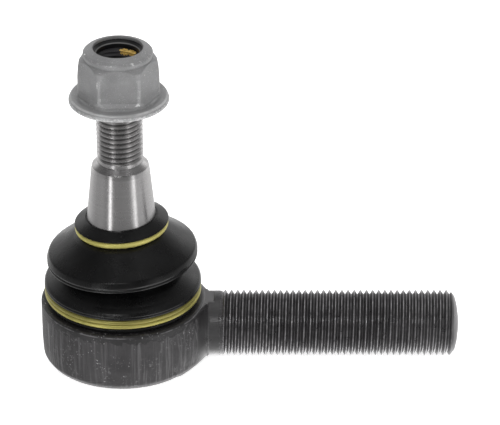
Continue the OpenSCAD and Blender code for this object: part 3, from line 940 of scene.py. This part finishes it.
def make_nut():
    margin = 0.3
    low = (-NUT_REACH - margin, -NUT_REACH - margin, nut_z - margin)
    high = (NUT_REACH + margin, NUT_REACH + margin, nut_top + margin)
    body = piece("nut_body", surface(nut_distance, low, high, 0.17), nut_finish, 55)
    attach(body, "nut")
    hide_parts("flange_nut")

    z0, z1 = nut_z + 0.9, INSERT_LOW - 0.02

    def radius(depth, z):
        mouth = NUT_JACKET_IN - np.minimum(z - z0, z1 - z) * 0.9
        return np.maximum(nut_thread_radius(depth, z), mouth)

    threads = threaded(radius, z0, z1, stud_pitch, columns=96)
    jacket = lathe([
        (NUT_JACKET_IN, z0), (NUT_JACKET_OUT, z0), (NUT_JACKET_OUT, z1), (NUT_JACKET_IN, z1)
    ], columns=96)
    inside = piece("nut_thread", joined(threads, jacket), shaded_nut_thread_finish, 30)
    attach(inside, "nut")

    insert_r = 7.19
    outline = rounded([
        (INSERT_BORE, INSERT_LOW + 0.35), (5.6, INSERT_LOW + 0.03), (insert_r, INSERT_LOW + 0.03),
        (insert_r, INSERT_HIGH - 0.03), (6.0, INSERT_HIGH - 0.06, 0.2), (5.3, INSERT_HIGH - 0.62, 0.05),
        (INSERT_BORE, INSERT_HIGH - 0.74, 0.05), (INSERT_BORE, INSERT_LOW + 0.8)
    ])
    insert = piece("lock_insert", lathe(outline, closed=True), nylon_finish)
    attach(insert, "nut_carrier")
    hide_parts("nut_lock_insert")


def make_locking_patch():
    """A thin smear of compound on the nut's thread over part of a turn, ragged at its edges.
    It stands proud of the nut's thread by up to 0.04 mm, and its ragged top runs a little into the insert."""
    low, high = box_mm("thread_lock_patch")
    z0, z1 = low[2] + 0.05, INSERT_LOW - 0.04
    middle, half = math.radians(63), math.radians(23)
    rows, columns = 40, 56
    v, u = np.meshgrid(np.linspace(-1, 1, rows), np.linspace(-1, 1, columns), indexing="ij")
    ragged = 1 - 0.10 * np.sin(7 * u + 1.3) - 0.08 * np.sin(17 * u + 0.4)
    side = 1 - 0.06 * np.sin(5 * v + 0.7) - 0.05 * np.sin(13 * v + 2.0)
    angle = middle + half * u * side
    z = (z0 + z1) / 2 + (z1 - z0) / 2 * v * ragged
    height = np.clip(1.0 - np.maximum(np.abs(u), np.abs(v)) ** 6, 0, 1)
    lumps = 0.5 + 0.25 * np.sin(9 * u + 3 * v) + 0.25 * np.sin(4 * u - 8 * v + 1)
    phase = z / stud_pitch - angle / TURN
    face = nut_thread_radius(thread_depth(phase), z)
    front = face - height * (0.02 + 0.02 * lumps)
    back = face + 0.06
    sheets = []
    for r in (front, back):
        sheets.append(np.stack([r * np.cos(angle), r * np.sin(angle), z], -1).reshape(-1, 3))
    quads = grid_faces(rows, columns)
    n = rows * columns
    rim = np.concatenate([
        np.arange(columns), np.arange(1, rows) * columns + columns - 1,
        (rows - 1) * columns + np.arange(columns - 2, -1, -1), np.arange(rows - 2, 0, -1) * columns
    ])
    ahead = np.roll(rim, -1)
    walls = np.stack([rim, ahead, ahead + n, rim + n], -1)
    part = np.concatenate(sheets), np.concatenate([quads, quads[:, ::-1] + n, walls])
    patch = piece("locking_patch", part, compound_finish, 60)
    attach(patch, "nut")
    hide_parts("thread_lock_patch")


forging_finish = phosphated_forging()
thread_finish = phosphated_thread()
plate_finish = pressed_plate()
steel_finish = ground_steel()
rubber_finish = boot_rubber()
# the lower wire is painted darker above its middle height, as a reflection of the black boot
lower_ring_z = sum(corner[2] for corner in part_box("lower_clamp_ring")) / 2
lower_wire_finish = yellow_zinc("yellow_zinc_lower", 0.66, 0.7, lower_ring_z)
upper_wire_finish = yellow_zinc("yellow_zinc_upper", 0.68, 0.45)
nut_finish = zinc_flake()
# painted shade: the nut's thread is coloured near-black for the shade inside the bore
shaded_nut_thread_finish = moulded("nut_thread_painted_shade", (0.05, 0.05, 0.052), 0.4)
nylon_finish = nylon()
compound_finish = locking_compound()

make_housing()
make_closing_plate()
make_stud()
make_boot()
make_clamp_wires()
make_nut()
make_locking_patch()

hidden_finishes = {
    "cover_seal": moulded("seal_rubber", (0.02, 0.02, 0.02), 0.55),
    "disc_spring": spring_steel(),
    "thrust_washer": spring_steel(),
    "lower_ball_seat": moulded("seat_polymer", (0.66, 0.62, 0.52), 0.4),
    "upper_ball_seat": moulded("seat_polymer_upper", (0.66, 0.62, 0.52), 0.4),
}
for node, finish in hidden_finishes.items():
    mesh = frame["nodes"][node].data
    mesh.materials.clear()
    mesh.materials.append(finish)


# ---------------------------------------------------------------- studio

def stage_finish(name, colour, glow=0.0):
    """A matt paint for the floor and the backdrop, which may glow."""
    f = Finish(name, colour, 0.9)
    f.set(Specular_IOR_Level=0.0)
    f.shader.inputs["Emission Color"].default_value = (1, 1, 1, 1)
    f.set(Emission_Strength=glow)
    return f.material


def make_floor():
    """A wide pale floor under the rim, and a pale dome behind everything."""
    floor_r, floor_z = 3.0, -0.00005
    bpy.ops.mesh.primitive_circle_add(vertices=96, radius=floor_r, fill_type="NGON", location=(0, 0, floor_z))
    floor = bpy.context.object
    floor.name = "floor"
    floor.data.materials.append(stage_finish("floor_paint", (0.8, 0.8, 0.8), 0.75))
    floor.visible_glossy = False
    bpy.ops.mesh.primitive_uv_sphere_add(segments=64, ring_count=32, radius=floor_r - 0.01)
    dome = bpy.context.object
    dome.name = "backdrop"
    dome.data.materials.append(stage_finish("backdrop_paint", (0, 0, 0), 1.0))
    for ray in ("visible_diffuse", "visible_glossy", "visible_transmission", "visible_shadow"):
        setattr(dome, ray, False)


def brightness_ramp(nodes, links, value, low, high, levels):
    """A grey colour ramp over value, from (value, level) pairs between low and high."""
    share = nodes.new("ShaderNodeMapRange")
    share.inputs["From Min"].default_value = low
    share.inputs["From Max"].default_value = high
    links.new(value, share.inputs["Value"])
    ramp = nodes.new("ShaderNodeValToRGB")
    stops = ramp.color_ramp.elements
    while len(stops) < len(levels):
        stops.new(0.5)
    for stop, (at, level) in zip(stops, levels):
        stop.position = (at - low) / (high - low)
        stop.color = (level, level, level, 1)
    links.new(share.outputs["Result"], ramp.inputs["Fac"])
    return ramp.outputs["Color"]


def vector_math(nodes, links, operation, a, b):
    node = nodes.new("ShaderNodeVectorMath")
    node.operation = operation
    links.new(a, node.inputs[0])
    links.new(b, node.inputs[1])
    return node.outputs[0]


def make_world():
    """Studio surroundings by direction: a dim front, two tall bright panels, a pale back and floor, and a
    low screen behind the object, which its dark rubber mirrors at the sides."""
    world = bpy.data.worlds.new("studio")
    bpy.context.scene.world = world
    world.use_nodes = True
    nodes, links = world.node_tree.nodes, world.node_tree.links
    split = nodes.new("ShaderNodeSeparateXYZ")
    links.new(nodes.new("ShaderNodeTexCoord").outputs["Generated"], split.inputs[0])
    front = nodes.new("ShaderNodeMath")
    front.operation = "MULTIPLY"
    front.inputs[1].default_value = -1
    links.new(split.outputs["Y"], front.inputs[0])
    turn = nodes.new("ShaderNodeMath")
    turn.operation = "ARCTAN2"
    links.new(split.outputs["X"], turn.inputs[0])
    links.new(front.outputs[0], turn.inputs[1])
    degrees = nodes.new("ShaderNodeMath")
    degrees.operation = "DEGREES"
    links.new(turn.outputs[0], degrees.inputs[0])
    # degrees to the right of the direction -Y, and brightness
    round_it = brightness_ramp(nodes, links, degrees.outputs[0], -180, 180, [
        (-180, 0.9), (-130, 0.7), (-117, 0.55), (-93, 0.38), (-66, 0.40), (-50, 0.30), (-41, 0.28),
        (-39, 2.5), (-33, 2.5), (-31, 0.28), (0, 0.26), (36, 0.32), (47, 0.9), (50, 1.75), (55, 1.75),
        (58, 0.50), (80, 0.60), (90, 0.57), (130, 0.8), (180, 0.9)
    ])
    # height of the direction, from straight down to straight up, and brightness
    up_it = brightness_ramp(nodes, links, split.outputs["Z"], -1, 1, [
        (-1, 3.0), (-0.8, 2.8), (-0.62, 1.0), (-0.52, 0.87), (-0.4, 0.92), (-0.25, 1.5), (-0.08, 0.9),
        (0.1, 0.5), (0.3, 0.35), (0.82, 0.3), (0.94, 0.6), (1, 0.8)
    ])
    # a pale screen low behind the object
    screen_round = brightness_ramp(nodes, links, degrees.outputs[0], -180, 180, [
        (-180, 0.45), (-165, 0.7), (-152, 1.15), (-135, 0.4), (-120, 0), (120, 0), (135, 0.4), (152, 1.15),
        (165, 0.7), (180, 0.45)
    ])
    screen_up = brightness_ramp(nodes, links, split.outputs["Z"], -1, 1, [
        (-1, 0), (-0.05, 0), (0.15, 0.4), (0.28, 1.0), (0.45, 1.0), (0.6, 0), (1, 0)
    ])
    studio = vector_math(nodes, links, "MULTIPLY", round_it, up_it)
    screen = vector_math(nodes, links, "MULTIPLY", screen_round, screen_up)
    links.new(vector_math(nodes, links, "ADD", studio, screen), nodes["Background"].inputs["Color"])


def area_light(name, place, target, width, height, power, mirrored=False):
    """A rectangular lamp; only a mirrored one shows in reflections."""
    data = bpy.data.lights.new(name, "AREA")
    data.shape = "RECTANGLE"
    data.size = width
    data.size_y = height
    data.energy = power
    light = bpy.data.objects.new(name, data)
    bpy.context.scene.collection.objects.link(light)
    light.location = place
    direction = Vector(target) - Vector(place)
    light.rotation_mode = "QUATERNION"
    light.rotation_quaternion = direction.to_track_quat("-Z", "Y")
    light.visible_glossy = mirrored


def make_camera():
    """Looks along +Y and down, at a point beside and above where the stud's axis meets the shank's."""
    elevation = math.radians(29)
    distance = 0.783
    beside, above = 0.03087, 0.0269
    back = Vector((0, -math.cos(elevation), math.sin(elevation)))
    up = Vector((0, math.sin(elevation), math.cos(elevation)))
    target = Vector((0, 0, shank_z * MM)) + beside * Vector((1, 0, 0)) + above * up
    data = bpy.data.cameras.new("camera")
    data.lens = 230.4
    data.sensor_width = 36
    data.clip_end = 20
    camera = bpy.data.objects.new("camera", data)
    bpy.context.scene.collection.objects.link(camera)
    camera.location = target + back * distance
    camera.rotation_mode = "QUATERNION"
    camera.rotation_quaternion = (-back).to_track_quat("-Z", "Y")
    bpy.context.scene.camera = camera


make_floor()
make_world()
centre = (0.02, 0, 0.03)
area_light("overhead", (0, 0.1, 0.9), centre, 0.9, 0.9, 4.0)
area_light("key", (-0.45, -0.7, 0.4), centre, 0.5, 0.5, 3.8)
area_light("window", (-0.13, -0.60, 0.52), centre, 0.26, 0.07, 0.55, True)
area_light("fill", (0.6, -0.6, 0.3), centre, 0.4, 0.5, 4.5)
make_camera()
bpy.context.scene.view_settings.view_transform = "Standard"
